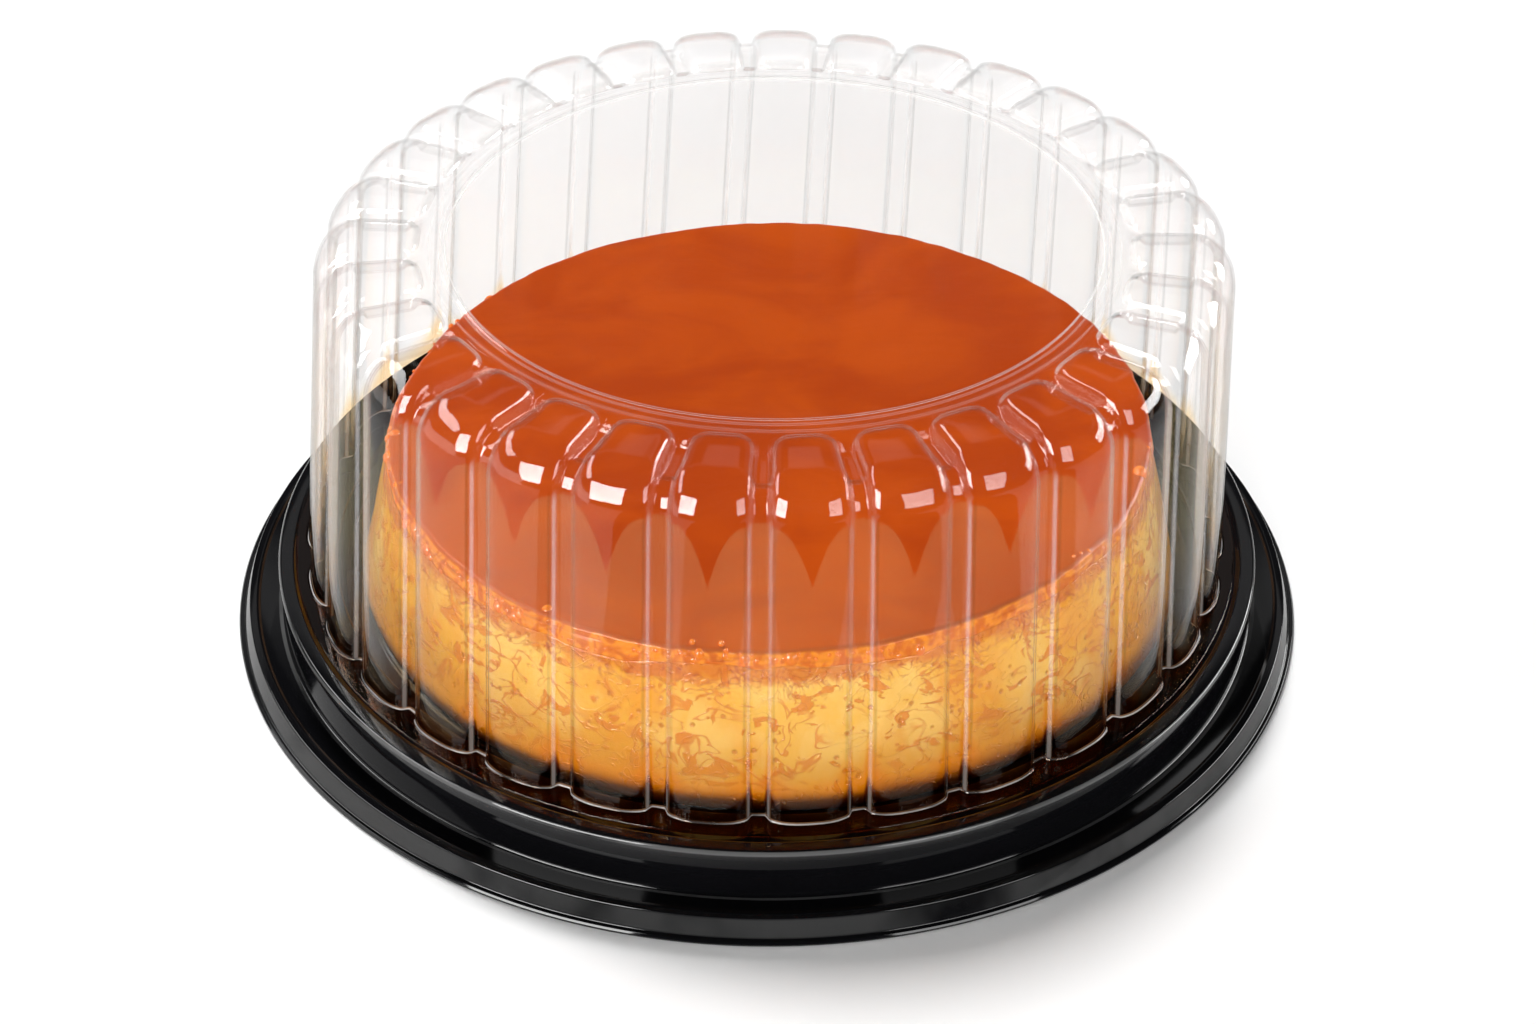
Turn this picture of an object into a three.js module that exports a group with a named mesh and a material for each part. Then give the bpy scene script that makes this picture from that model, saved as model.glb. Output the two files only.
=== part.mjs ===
// Leche flan in its shop pack: a black tray, the custard with its caramel top, and a clear fluted dome lid.
// Millimetres, +Z up. The origin is on the table, at the centre of the tray.
import * as THREE from 'three';

const fullTurn = 2 * Math.PI;
const fitGap = 0.3;

// Tray: one pressed sheet. A shallow well holds the flan, the seat round it holds the lid,
// and a bead, a step, a ledge and a sloping skirt lead down to the flat rim that stands on the table.
const traySheet = 1.2;
const trayRadius = 136;
const trayRimInner = 134.2;
const traySkirtTop = 5.6;
const traySkirtOuter = 132.6;
const traySkirtInner = 130.4;
const trayLedgeInner = 124.5;
const trayLedgeHeight = 4.1;
const trayBeadOuter = 123.3;
const trayBeadInner = 120.9;
const trayBeadTop = 17.8;
const traySeatOuter = 119.9;
const traySeatInner = 109.8;
const traySeatHeight = 16.5;
const trayWellRadius = 107.4;
const trayWellHeight = 10;
const trayCornerRadius = 1.6;
const traySegments = 64;

// Flan: a disc with a slight draft, wider at the foot, its caramel layer on top.
const flanFootRadius = 103.5;
const flanTopRadius = 94.6;
const flanTopHeight = 51.8;
const flanFootRounding = 3;
const flanTopRounding = 1.4;
const flanTilt = 0.014;
const caramelThickness = 4.2;
const flanSteps = 96;

// Lid: a window with a fine ring round it, then flutes over the shoulder and down the wall to a flat foot flange.
const lidSheet = 1;
const fluteCount = 31;
const fluteRise = 3.4;
const fluteGrooveShare = 0.06;
const fluteFlankShare = 0.18;
const fluteTurn = -0.9;
const windowRadius = 79.1;
const windowHeight = 104.3;
const windowRingWidth = 2.4;
const windowRingRise = 0.9;
const fluteStartRadius = 86;
const fluteEndLength = 4;
const shoulderRadius = 7.6;
const shoulderCentreRadius = 100;
const shoulderCentreHeight = 95.3;
const shoulderSteps = 3;
const wallFootRadius = 113.3;
const flangeRadius = 119.2;
const flangeTop = traySeatHeight + 0.5 + lidSheet;

function finish(name, color, roughness) {
  const material = new THREE.MeshStandardMaterial({ color, roughness, metalness: 0 });
  material.name = name;
  return material;
}

function addPiece(group, name, geometry, material) {
  const piece = new THREE.Mesh(geometry, material);
  piece.name = name;
  group.add(piece);
}

// A closed skin through rings of equal length, from one pole to the other, each ring running anticlockwise.
function skinThroughRings(firstPole, rings, lastPole) {
  const steps = rings[0].length;
  const points = [firstPole, ...rings.flat(), lastPole];
  const last = points.length - 1;
  const corners = [];
  for (let step = 0; step < steps; step += 1) {
    const next = (step + 1) % steps;
    corners.push(0, 1 + step, 1 + next);
    for (let ring = 0; ring < rings.length - 1; ring += 1) {
      const near = 1 + ring * steps;
      const far = near + steps;
      corners.push(near + step, far + step, far + next);
      corners.push(near + step, far + next, near + next);
    }
    corners.push(last - steps + step, last, last - steps + next);
  }
  const geometry = new THREE.BufferGeometry().setFromPoints(points);
  geometry.setIndex(corners);
  geometry.computeVertexNormals();
  return geometry;
}

// A corner of an outline replaced by a short arc that leaves both straight lines at the given distance.
function roundedCorner(before, corner, after, distance, steps) {
  const start = corner.clone().lerp(before, distance / corner.distanceTo(before));
  const end = corner.clone().lerp(after, distance / corner.distanceTo(after));
  return new THREE.QuadraticBezierCurve(start, corner, end).getPoints(steps);
}

// The tray's visible face, from its centre out to the rim, as the corners of its section.
function trayFace() {
  return [
    new THREE.Vector2(0, trayWellHeight),
    new THREE.Vector2(trayWellRadius, trayWellHeight),
    new THREE.Vector2(traySeatInner, traySeatHeight),
    new THREE.Vector2(traySeatOuter, traySeatHeight),
    new THREE.Vector2(trayBeadInner, trayBeadTop),
    new THREE.Vector2(trayBeadOuter, trayBeadTop),
    new THREE.Vector2(trayLedgeInner, trayLedgeHeight),
    new THREE.Vector2(traySkirtInner, traySkirtTop),
    new THREE.Vector2(traySkirtOuter, traySkirtTop),
    new THREE.Vector2(trayRimInner, traySheet),
    new THREE.Vector2(trayRadius, traySheet),
  ];
}

// The same section moved square to each of its lines by the sheet's thickness, with mitred corners.
function offsetBelow(corners, thickness) {
  const moved = [];
  for (let i = 0; i < corners.length; i += 1) {
    const into = corners[Math.max(i, 1)].clone().sub(corners[Math.max(i, 1) - 1]).normalize();
    const outIndex = Math.min(i, corners.length - 2);
    const out = corners[outIndex + 1].clone().sub(corners[outIndex]).normalize();
    const squareIn = new THREE.Vector2(into.y, -into.x);
    const squareOut = new THREE.Vector2(out.y, -out.x);
    const mitre = squareIn.clone().add(squareOut);
    mitre.multiplyScalar(thickness / (1 + squareIn.dot(squareOut)));
    moved.push(corners[i].clone().add(mitre));
  }
  return moved;
}

function buildTray() {
  const face = trayFace();
  const under = offsetBelow(face, traySheet);
  const profile = [];
  for (let i = 0; i < face.length; i += 1) {
    const isBead = face[i].y === trayBeadTop;
    if (isBead) {
      profile.push(...roundedCorner(face[i - 1], face[i], face[i + 1], trayCornerRadius / 2, 2));
    } else {
      profile.push(face[i]);
    }
  }
  profile.push(...under.reverse());
  const geometry = new THREE.LatheGeometry(profile.reverse(), traySegments);
  geometry.rotateX(Math.PI / 2);
  return geometry;
}

// How far the flan's side stands out of round at an azimuth: a few slow waves.
function flanWave(azimuth) {
  const slow = 0.7 * Math.cos(azimuth + 0.7);
  const middle = 0.4 * Math.cos(3 * azimuth + 1.1);
  const quick = 0.25 * Math.cos(7 * azimuth + 2.4);
  return slow + middle + quick;
}

// A ring of the flan: its side radius at that height, pulled in by inset, lifted with the tilt of the top.
function flanRing(height, inset, tiltShare) {
  const ring = [];
  const rise = (height - trayWellHeight) / (flanTopHeight - trayWellHeight);
  const sideRadius = THREE.MathUtils.lerp(flanFootRadius, flanTopRadius, rise);
  for (let step = 0; step < flanSteps; step += 1) {
    const azimuth = (step / flanSteps) * fullTurn;
    const radius = sideRadius + flanWave(azimuth) - inset;
    const x = radius * Math.cos(azimuth);
    const y = radius * Math.sin(azimuth);
    ring.push(new THREE.Vector3(x, y, height + tiltShare * flanTilt * x));
  }
  return ring;
}

function buildCustard() {
  const foot = trayWellHeight + fitGap;
  const top = flanTopHeight - caramelThickness - fitGap;
  const middle = (foot + top) / 2;
  const bend = flanFootRounding * (1 - Math.SQRT1_2);
  const rings = [
    flanRing(top, 40, 1),
    flanRing(top, 0, 1),
    flanRing(middle, 0, 0.5),
    flanRing(foot + flanFootRounding, 0, 0),
    flanRing(foot + bend, bend, 0),
    flanRing(foot, flanFootRounding, 0),
    flanRing(foot, 40, 0),
  ];
  return skinThroughRings(new THREE.Vector3(0, 0, top), rings, new THREE.Vector3(0, 0, foot));
}

function buildCaramelLayer() {
  const foot = flanTopHeight - caramelThickness;
  const bend = flanTopRounding * (1 - Math.SQRT1_2);
  const rings = [
    flanRing(flanTopHeight, 40, 1),
    flanRing(flanTopHeight, flanTopRounding, 1),
    flanRing(flanTopHeight - bend, bend, 1),
    flanRing(flanTopHeight - flanTopRounding, 0, 1),
    flanRing(foot, 0, 1),
    flanRing(foot, 40, 1),
  ];
  return skinThroughRings(new THREE.Vector3(0, 0, flanTopHeight), rings, new THREE.Vector3(0, 0, foot));
}

// The flutes' section over one pitch: 0 in the groove, then a quarter ellipse up to 1 on the broad crest.
function fluteShape(share) {
  const fromGroove = Math.min(share, 1 - share);
  const climb = THREE.MathUtils.clamp((fromGroove - fluteGrooveShare) / fluteFlankShare, 0, 1);
  return Math.sqrt(1 - (1 - climb) ** 2);
}

// Where one pitch is cut into steps: both edges of the groove, a point up each flank, both edges of the crest.
function fluteShares() {
  const flankPoint = fluteGrooveShare + 0.3 * fluteFlankShare;
  const crest = fluteGrooveShare + fluteFlankShare;
  return [fluteGrooveShare, flankPoint, crest, 1 - crest, 1 - flankPoint, 1 - fluteGrooveShare];
}

// A ring of the lid. Facing is the angle between the wall's outward normal and straight up,
// rise is how far the flutes stand out along that normal, inset moves the ring into the sheet.
function lidRing({ radius, height, facing, rise }, inset) {
  const ring = [];
  const pitch = fullTurn / fluteCount;
  const quarterBack = -fullTurn / 4 + THREE.MathUtils.degToRad(fluteTurn);
  for (let flute = 0; flute < fluteCount; flute += 1) {
    for (const share of fluteShares()) {
      const azimuth = quarterBack + (flute + share) * pitch;
      const out = rise * fluteShape(share) - inset;
      const ringRadius = radius + out * Math.sin(facing);
      const x = ringRadius * Math.cos(azimuth);
      const y = ringRadius * Math.sin(azimuth);
      ring.push(new THREE.Vector3(x, y, height + out * Math.cos(facing)));
    }
  }
  return ring;
}

// The lid's fluted part at groove level, from the band outside the window down to the foot of the wall.
function flutedStations() {
  const grooveHeight = shoulderCentreHeight + shoulderRadius;
  const wallDrop = shoulderCentreHeight - flangeTop;
  const wallFacing = fullTurn / 4 - Math.atan((wallFootRadius - shoulderCentreRadius - shoulderRadius) / wallDrop);
  const stations = [
    { radius: fluteStartRadius, height: grooveHeight, facing: 0, rise: 0 },
    { radius: fluteStartRadius + 0.3 * fluteEndLength, height: grooveHeight, facing: 0, rise: 0.7 * fluteRise },
    { radius: fluteStartRadius + fluteEndLength, height: grooveHeight, facing: 0, rise: fluteRise },
  ];
  for (let step = 0; step <= shoulderSteps; step += 1) {
    const facing = (step / shoulderSteps) * wallFacing;
    stations.push({
      radius: shoulderCentreRadius + shoulderRadius * Math.sin(facing),
      height: shoulderCentreHeight + shoulderRadius * Math.cos(facing),
      facing,
      rise: fluteRise,
    });
  }
  return stations;
}

function buildLid() {
  const ringMiddle = windowRadius + windowRingWidth / 2;
  const window = [
    { radius: windowRadius, height: windowHeight, facing: 0, rise: 0 },
    { radius: ringMiddle, height: windowHeight + windowRingRise, facing: 0, rise: 0 },
    { radius: windowRadius + windowRingWidth, height: windowHeight, facing: 0, rise: 0 },
  ];
  const fluted = flutedStations();
  const foot = { radius: wallFootRadius, height: flangeTop, facing: fullTurn / 4, rise: fluteRise };
  const flange = { radius: flangeRadius, height: flangeTop, facing: 0, rise: 0 };
  const underFoot = { ...foot, height: flangeTop - lidSheet };
  const outside = [...window, ...fluted, foot, flange].map((station) => lidRing(station, 0));
  const inside = [...fluted, underFoot].map((station) => lidRing(station, lidSheet));
  const rings = [...outside, lidRing(flange, lidSheet), ...inside.reverse()];
  const top = new THREE.Vector3(0, 0, windowHeight);
  const underTop = new THREE.Vector3(0, 0, shoulderCentreHeight + shoulderRadius - lidSheet);
  return skinThroughRings(top, rings, underTop);
}

const flanPack = new THREE.Group();
addPiece(flanPack, 'tray', buildTray(), finish('black_plastic', 0x0c0c0d, 0.12));
addPiece(flanPack, 'custard', buildCustard(), finish('custard', 0xf2b04c, 0.4));
addPiece(flanPack, 'caramel_layer', buildCaramelLayer(), finish('caramel', 0xc9540c, 0.2));
addPiece(flanPack, 'dome_lid', buildLid(), finish('clear_plastic', 0xf2f4f5, 0.05));

export default flanPack;
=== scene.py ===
import math

import bpy
import numpy as np
from mathutils import Matrix, Vector


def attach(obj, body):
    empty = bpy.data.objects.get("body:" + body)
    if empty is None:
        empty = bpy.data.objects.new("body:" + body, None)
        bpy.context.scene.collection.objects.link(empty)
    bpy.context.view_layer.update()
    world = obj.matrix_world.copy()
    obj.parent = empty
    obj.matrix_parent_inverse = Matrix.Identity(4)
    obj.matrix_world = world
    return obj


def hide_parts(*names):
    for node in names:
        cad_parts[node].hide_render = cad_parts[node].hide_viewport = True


# Leche flan in its pack: gloss black tray, custard, caramel top, syrup at the foot, clear fluted dome lid.
# Metres, +Z up, the tray's centre on the floor at the origin. The front of the pack is at -Y.

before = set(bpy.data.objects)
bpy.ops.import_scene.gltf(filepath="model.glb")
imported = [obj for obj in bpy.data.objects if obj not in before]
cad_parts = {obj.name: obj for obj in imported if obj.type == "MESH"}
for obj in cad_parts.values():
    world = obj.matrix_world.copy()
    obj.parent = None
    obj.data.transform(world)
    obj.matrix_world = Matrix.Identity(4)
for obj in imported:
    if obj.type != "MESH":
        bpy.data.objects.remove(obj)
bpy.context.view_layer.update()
mm = 0.001
fullTurn = 2 * math.pi
print("frame loaded:", sorted(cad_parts))


def smoothStep(low, high, values):
    # 0 below low, 1 above high, 3t^2 - 2t^3 between
    t = np.clip((values - low) / (high - low), 0, 1)
    return t * t * (3 - 2 * t)


def softNoise(u, v, cellsU, cellsV, seed):
    # value noise from -1 to 1: random heights on a lattice of cells, joined by smooth steps. u wraps at 1
    lattice = np.random.default_rng(seed).uniform(-1, 1, (cellsV + 2, cellsU))
    x, y = np.mod(u, 1) * cellsU, np.clip(v, 0, 1) * cellsV
    column, row = np.floor(x).astype(int) % cellsU, np.floor(y).astype(int)
    fx, fy = x - np.floor(x), y - np.floor(y)
    fx, fy = fx * fx * (3 - 2 * fx), fy * fy * (3 - 2 * fy)
    nextColumn = (column + 1) % cellsU
    low = lattice[row, column] * (1 - fx) + lattice[row, nextColumn] * fx
    high = lattice[row + 1, column] * (1 - fx) + lattice[row + 1, nextColumn] * fx
    return low * (1 - fy) + high * fy


def ringPoints(radius, height, azimuth):
    # one point for each radius, height and azimuth: (r cos a, r sin a, z)
    return np.stack([radius * np.cos(azimuth), radius * np.sin(azimuth), height + 0 * azimuth], axis=-1)


def skinMesh(name, rings, firstPole, lastPole):
    # a closed skin through rings of equal length: a fan from the first pole, quads between rings, a last fan
    rows, columns = rings.shape[:2]
    points = np.concatenate([[firstPole], rings.reshape(-1, 3), [lastPole]])
    here = np.arange(columns)
    beside = (here + 1) % columns
    near = 1 + columns * np.arange(rows - 1)[:, None]
    quads = np.stack([near + here, near + columns + here, near + columns + beside, near + beside], axis=-1)
    last = len(points) - 1
    firstFan = np.stack([0 * here, 1 + here, 1 + beside], axis=-1)
    lastFan = np.stack([last - columns + here, 0 * here + last, last - columns + beside], axis=-1)
    mesh = bpy.data.meshes.new(name)
    mesh.from_pydata(points, [], firstFan.tolist() + quads.reshape(-1, 4).tolist() + lastFan.tolist())
    mesh.shade_smooth()
    mesh.update()
    piece = bpy.data.objects.new(name, mesh)
    bpy.context.scene.collection.objects.link(piece)
    return piece


def filletedSection(corners, steps):
    # an outline whose corners (r, z, radius) are replaced by arcs that touch both straight lines
    outline = []
    for i, (r, z, radius) in enumerate(corners):
        corner = np.array([r, z])
        if radius == 0:
            outline.append(corner)
            continue
        toBefore = np.array(corners[i - 1][:2]) - corner
        toAfter = np.array(corners[i + 1][:2]) - corner
        toBefore, toAfter = toBefore / np.linalg.norm(toBefore), toAfter / np.linalg.norm(toAfter)
        halfAngle = math.acos(np.clip(toBefore @ toAfter, -1, 1)) / 2
        centreLine = (toBefore + toAfter) / np.linalg.norm(toBefore + toAfter)
        centre = corner + centreLine * radius / math.sin(halfAngle)
        start = corner + toBefore * radius / math.tan(halfAngle) - centre
        end = corner + toAfter * radius / math.tan(halfAngle) - centre
        sweep = math.atan2(start[0] * end[1] - start[1] * end[0], start @ end)
        for angle in np.linspace(0, sweep, steps):
            turn = np.array([[math.cos(angle), -math.sin(angle)], [math.sin(angle), math.cos(angle)]])
            outline.append(centre + turn @ start)
    return np.array(outline)


def putInPlace(piece, slot, material, *nodes):
    piece.data.materials.append(material)
    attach(piece, "root")
    if nodes:
        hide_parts(*nodes)


def newMaterial(name):
    material = bpy.data.materials.new(name)
    material.use_nodes = True
    tree = material.node_tree
    tree.nodes.clear()
    return material, tree


def addNode(tree, kind, values=None, **settings):
    # values are put on the node's sockets, a link where the value is another node's socket
    node = tree.nodes.new(kind)
    for key, value in settings.items():
        setattr(node, key, value)
    for key, value in (values or {}).items():
        socket = node.inputs[key]
        if isinstance(value, bpy.types.NodeSocket):
            tree.links.new(value, socket)
        else:
            socket.default_value = value
    return node


def math2(tree, operation, a, b=0.0, c=0.0):
    return addNode(tree, "ShaderNodeMath", {0: a, 1: b, 2: c}, operation=operation).outputs[0]


def product(tree, first, *others):
    # all values multiplied together
    for other in others:
        first = math2(tree, "MULTIPLY", first, other)
    return first


def rampUp(tree, value, low, high):
    # 0 at low, 1 at high, smooth between
    values = {"Value": value, "From Min": low, "From Max": high}
    return addNode(tree, "ShaderNodeMapRange", values, interpolation_type="SMOOTHSTEP").outputs["Result"]


def lineAt(tree, value, middle, outer, inner):
    # 1 where the value is within inner of the middle, 0 beyond outer
    return rampUp(tree, math2(tree, "ABSOLUTE", math2(tree, "SUBTRACT", value, middle)), outer, inner)


def mixColour(tree, factor, a, b):
    values = {"Factor": factor, 6: a, 7: b}
    return addNode(tree, "ShaderNodeMix", values, data_type="RGBA").outputs[2]


def objectPoint(tree, scale=(1, 1, 1)):
    place = addNode(tree, "ShaderNodeTexCoord").outputs["Object"]
    return addNode(tree, "ShaderNodeMapping", {"Vector": place, "Scale": scale}).outputs["Vector"]


def vectorMath(tree, operation, a, output="Vector", b=(0, 0, 0)):
    return addNode(tree, "ShaderNodeVectorMath", {0: a, 1: b}, operation=operation).outputs[output]


def noiseValue(tree, vector, scale, detail=3.0, roughness=0.5, distortion=0.0):
    values = {"Vector": vector, "Scale": scale, "Detail": detail}
    values["Roughness"], values["Distortion"] = roughness, distortion
    return addNode(tree, "ShaderNodeTexNoise", values).outputs[0]


def finishTree(tree, shader):
    addNode(tree, "ShaderNodeOutputMaterial", {"Surface": shader})


camera = {
    "place": (0, -627.23 * mm, 479.20 * mm),
    "down": 36.1135,      # degrees below level
    "right": 0.0212,      # degrees turned to the right
    "roll": 0.2503,
    "lens": 70.95,        # mm on a sensor 36 mm wide
}


def addCamera():
    data = bpy.data.cameras.new("camera")
    data.lens = camera["lens"]
    data.sensor_width = 36
    data.sensor_fit = "HORIZONTAL"
    data.clip_start, data.clip_end = 0.01, 50
    view = bpy.data.objects.new("camera", data)
    bpy.context.scene.collection.objects.link(view)
    heading = Matrix.Rotation(math.radians(-camera["right"]), 4, "Z")
    tilt = Matrix.Rotation(math.radians(90 - camera["down"]), 4, "X")
    roll = Matrix.Rotation(math.radians(camera["roll"]), 4, "Z")
    view.matrix_world = Matrix.Translation(camera["place"]) @ heading @ tilt @ roll
    bpy.context.scene.camera = view


studio = {
    "floorSize": 6.0,
    "floorColour": (0.9, 0.9, 0.9, 1),
    "darkRing": 0.21,                   # the dark floor's near edge, a ring round the tray
    "darkTurns": (-120, -40),           # degrees from +X
    "darkFar": [(0.6, -0.5), (1.5, -3), (-1.2, -3), (-0.3, -0.62)],      # and its far corners
    "darkColour": (0.004, 0.004, 0.004, 1),
    "stripRadius": 1.0,                 # a lit strip at the left, seen only in reflections
    "stripTurns": (-105, -52),          # degrees from the front
    "stripHeights": (0.02, 0.34),
    "stripGlow": 3.0,
    # the sky that reflections see: dim all round, a low glow at the back and a bright band above it;
    # each pair is the share of up between which it comes or goes
    "dimGlow": 0.02,
    "backGlow": 0.15,
    "backEnds": (0.40, 0.46),
    "bandGlow": 0.5,
    "bandStarts": (0.560, 0.572),
    "bandEnds": (0.60, 0.65),
}

# each light: degrees from the front (-Y) to the right, elevation, distance, width, height, roll, power
softLights = {
    "keyLight": (-163, 42, 6.0, 1.3, 1.3, 0, 440),
    "topLight": (160, 80, 6.0, 5.0, 5.0, 0, 39),
    "frontLight": (-5, 12, 6.0, 3.2, 1.6, 0, 250),
    "leftFill": (-82, 14, 6.0, 2.4, 1.4, 0, 75),
    "rightFill": (82, 14, 6.0, 2.4, 1.4, 0, 45),
}
mirroredLights = {
    "leftBox": (-41, 30, 0.9, 0.46, 0.50, 10, 20),
    "leftHighBox": (-105, 45, 0.9, 0.8, 0.18, 0, 6),
    "rightSoftBox": (38, 30, 0.9, 0.40, 0.44, -10, 6),
    "rightBox": (106, 22, 0.9, 0.7, 0.24, 0, 12),
}


def addAreaLight(name, azimuth, elevation, distance, width, height, roll, power):
    data = bpy.data.lights.new(name, "AREA")
    data.shape = "RECTANGLE"
    data.size, data.size_y, data.energy = width, height, power
    light = bpy.data.objects.new(name, data)
    bpy.context.scene.collection.objects.link(light)
    a, e = math.radians(azimuth), math.radians(elevation)
    place = Vector((math.sin(a) * math.cos(e), -math.cos(a) * math.cos(e), math.sin(e))) * distance
    light.location = place
    turned = (-place).to_track_quat("-Z", "Y").to_matrix() @ Matrix.Rotation(math.radians(roll), 3, "Z")
    light.rotation_euler = turned.to_euler()
    return light


def flatPiece(name, corners, height, colour):
    # a flat sheet through the given corners on the floor
    mesh = bpy.data.meshes.new(name)
    mesh.from_pydata([(x, y, height) for x, y in corners], [], [list(range(len(corners)))])
    piece = bpy.data.objects.new(name, mesh)
    bpy.context.scene.collection.objects.link(piece)
    material, tree = newMaterial(name)
    finishTree(tree, addNode(tree, "ShaderNodeBsdfDiffuse", {"Color": colour}).outputs[0])
    mesh.materials.append(material)
    return piece


def addStrip():
    # part of an upright ring of light: (r sin a, -r cos a, z)
    turns = np.radians(np.linspace(*studio["stripTurns"], 21))
    low, high = studio["stripHeights"]
    x, y = studio["stripRadius"] * np.sin(turns), -studio["stripRadius"] * np.cos(turns)
    points = np.concatenate([np.stack([x, y, 0 * x + low], axis=-1), np.stack([x, y, 0 * x + high], axis=-1)])
    here = np.arange(len(turns) - 1)
    faces = np.stack([here, here + len(turns), here + len(turns) + 1, here + 1], axis=-1)
    mesh = bpy.data.meshes.new("strip")
    mesh.from_pydata(points, [], faces.tolist())
    strip = bpy.data.objects.new("strip", mesh)
    bpy.context.scene.collection.objects.link(strip)
    material, tree = newMaterial("stripLight")
    finishTree(tree, addNode(tree, "ShaderNodeEmission", {"Strength": studio["stripGlow"]}).outputs[0])
    mesh.materials.append(material)
    strip.visible_camera = False
    strip.visible_diffuse = False
    strip.visible_shadow = False


def addStudio():
    half = studio["floorSize"] / 2
    flatPiece("floor", [(-half, -half), (half, -half), (half, half), (-half, half)], 0, studio["floorColour"])
    turns = np.radians(np.linspace(*studio["darkTurns"], 25))
    near = [(studio["darkRing"] * math.cos(turn), studio["darkRing"] * math.sin(turn)) for turn in turns]
    darkFloor = flatPiece("darkFloor", near + studio["darkFar"], 0.5 * mm, studio["darkColour"])
    darkFloor.visible_camera = False
    darkFloor.visible_diffuse = False
    darkFloor.visible_shadow = False
    addStrip()
    for name, values in softLights.items():
        addAreaLight(name, *values).visible_glossy = False
    for name, values in mirroredLights.items():
        light = addAreaLight(name, *values)
        light.visible_diffuse = False
        light.visible_camera = False
    world = bpy.data.worlds.new("studio")
    bpy.context.scene.world = world
    world.use_nodes = True
    tree = world.node_tree
    tree.nodes.clear()
    direction = addNode(tree, "ShaderNodeTexCoord").outputs["Generated"]
    parts = addNode(tree, "ShaderNodeSeparateXYZ", {0: direction})
    behind = rampUp(tree, parts.outputs["Y"], 0.0, 0.3)
    low = math2(tree, "SUBTRACT", 1.0, rampUp(tree, parts.outputs["Z"], *studio["backEnds"]))
    rise = rampUp(tree, parts.outputs["Z"], *studio["bandStarts"])
    fall = math2(tree, "SUBTRACT", 1.0, rampUp(tree, parts.outputs["Z"], *studio["bandEnds"]))
    band = product(tree, rise, fall, studio["bandGlow"])
    glow = math2(tree, "MULTIPLY", behind, math2(tree, "MULTIPLY_ADD", low, studio["backGlow"], band))
    level = math2(tree, "ADD", glow, studio["dimGlow"])
    seen = addNode(tree, "ShaderNodeLightPath").outputs["Is Camera Ray"]
    strength = math2(tree, "MAXIMUM", level, seen)
    shader = addNode(tree, "ShaderNodeBackground", {"Color": (1, 1, 1, 1), "Strength": strength})
    addNode(tree, "ShaderNodeOutputWorld", {"Surface": shader.outputs[0]})
    scene = bpy.context.scene
    scene.view_settings.view_transform = "Standard"
    scene.cycles.transparent_max_bounces = 32
    scene.cycles.max_bounces = 6
    scene.cycles.diffuse_bounces = 2
    scene.cycles.glossy_bounces = 4


addCamera()
addStudio()
print("camera, floor and lights placed")


tray = {
    "sheet": 0.9 * mm,
    "segments": 360,
    # corners of the visible face from the centre out: radius, height and fillet radius in mm
    "corners": [
        (40, 10, 0), (107.9, 10, 1.2), (109.8, 16.5, 0.9), (119.6, 16.5, 0.8), (120.9, 17.8, 0.7),
        (124.7, 17.8, 0.9), (124.1, 4.1, 0.6), (130.2, 5.3, 0.4), (131.2, 5.9, 0.5), (132.9, 5.7, 0.4),
        (134.7, 1.0, 0.4), (135.6, 1.0, 0.3), (136, 0.5, 0.2), (135.9, 0, 0),
    ],
    # painted highlights: grey lines and bands standing in for reflections on the bead, ledge and skirt:
    # radius of the inner and the outer edge and lowest height in mm, colour
    "paintedHighlights": [
        (124.15, 125.0, 16.9, (0.12, 0.12, 0.12, 1)),
        (124.7, 125.6, 0, (0.08, 0.08, 0.08, 1)),
        (130.2, 130.7, 0, (0.035, 0.02, 0.012, 1)),
        (133.0, 134.6, 0, (0.045, 0.045, 0.045, 1)),
    ],
    "paintedHighlightSoftness": 0.15,     # mm
}


def trayMaterial():
    # nearly black and glossy, with a faint wave and smears, and patchy grey painted highlights along the
    # bead, ledge and skirt
    material, tree = newMaterial("glossBlackPlastic")
    place = objectPoint(tree)
    wave = noiseValue(tree, place, 60.0, 2.0)
    bump = addNode(tree, "ShaderNodeBump", {"Height": wave, "Strength": 0.08, "Distance": 0.4 * mm})
    smear = noiseValue(tree, objectPoint(tree, (1, 1, 3)), 35.0, 4.0, 0.6)
    roughness = math2(tree, "MULTIPLY_ADD", smear, 0.06, 0.03)
    tint = mixColour(tree, smear, (0.0025, 0.0025, 0.003, 1), (0.005, 0.005, 0.006, 1))
    radius = vectorMath(tree, "LENGTH", objectPoint(tree, (1, 1, 0)), "Value")
    radius = math2(tree, "MULTIPLY", radius, 1000.0)
    height = addNode(tree, "ShaderNodeSeparateXYZ", {0: place}).outputs["Z"]
    height = math2(tree, "MULTIPLY", height, 1000.0)
    # patches that break up the painted highlights
    sheenPatches = rampUp(tree, noiseValue(tree, place, 30.0, 3.0), 0.3, 0.55)
    soft = tray["paintedHighlightSoftness"]
    # grey painted highlight bands, standing in for reflections
    for inner, outer, lowest, colour in tray["paintedHighlights"]:
        starts = rampUp(tree, radius, inner - soft, inner + soft)
        ends = rampUp(tree, radius, outer + soft, outer - soft)
        band = product(tree, starts, sheenPatches, ends, rampUp(tree, height, lowest - 2 * soft, lowest + 0.1))
        tint = mixColour(tree, band, tint, colour)
    values = {"Base Color": tint, "Roughness": roughness, "IOR": 1.52, "Normal": bump.outputs[0]}
    values["Specular IOR Level"] = 0.22
    finishTree(tree, addNode(tree, "ShaderNodeBsdfPrincipled", values).outputs[0])
    return material


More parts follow.
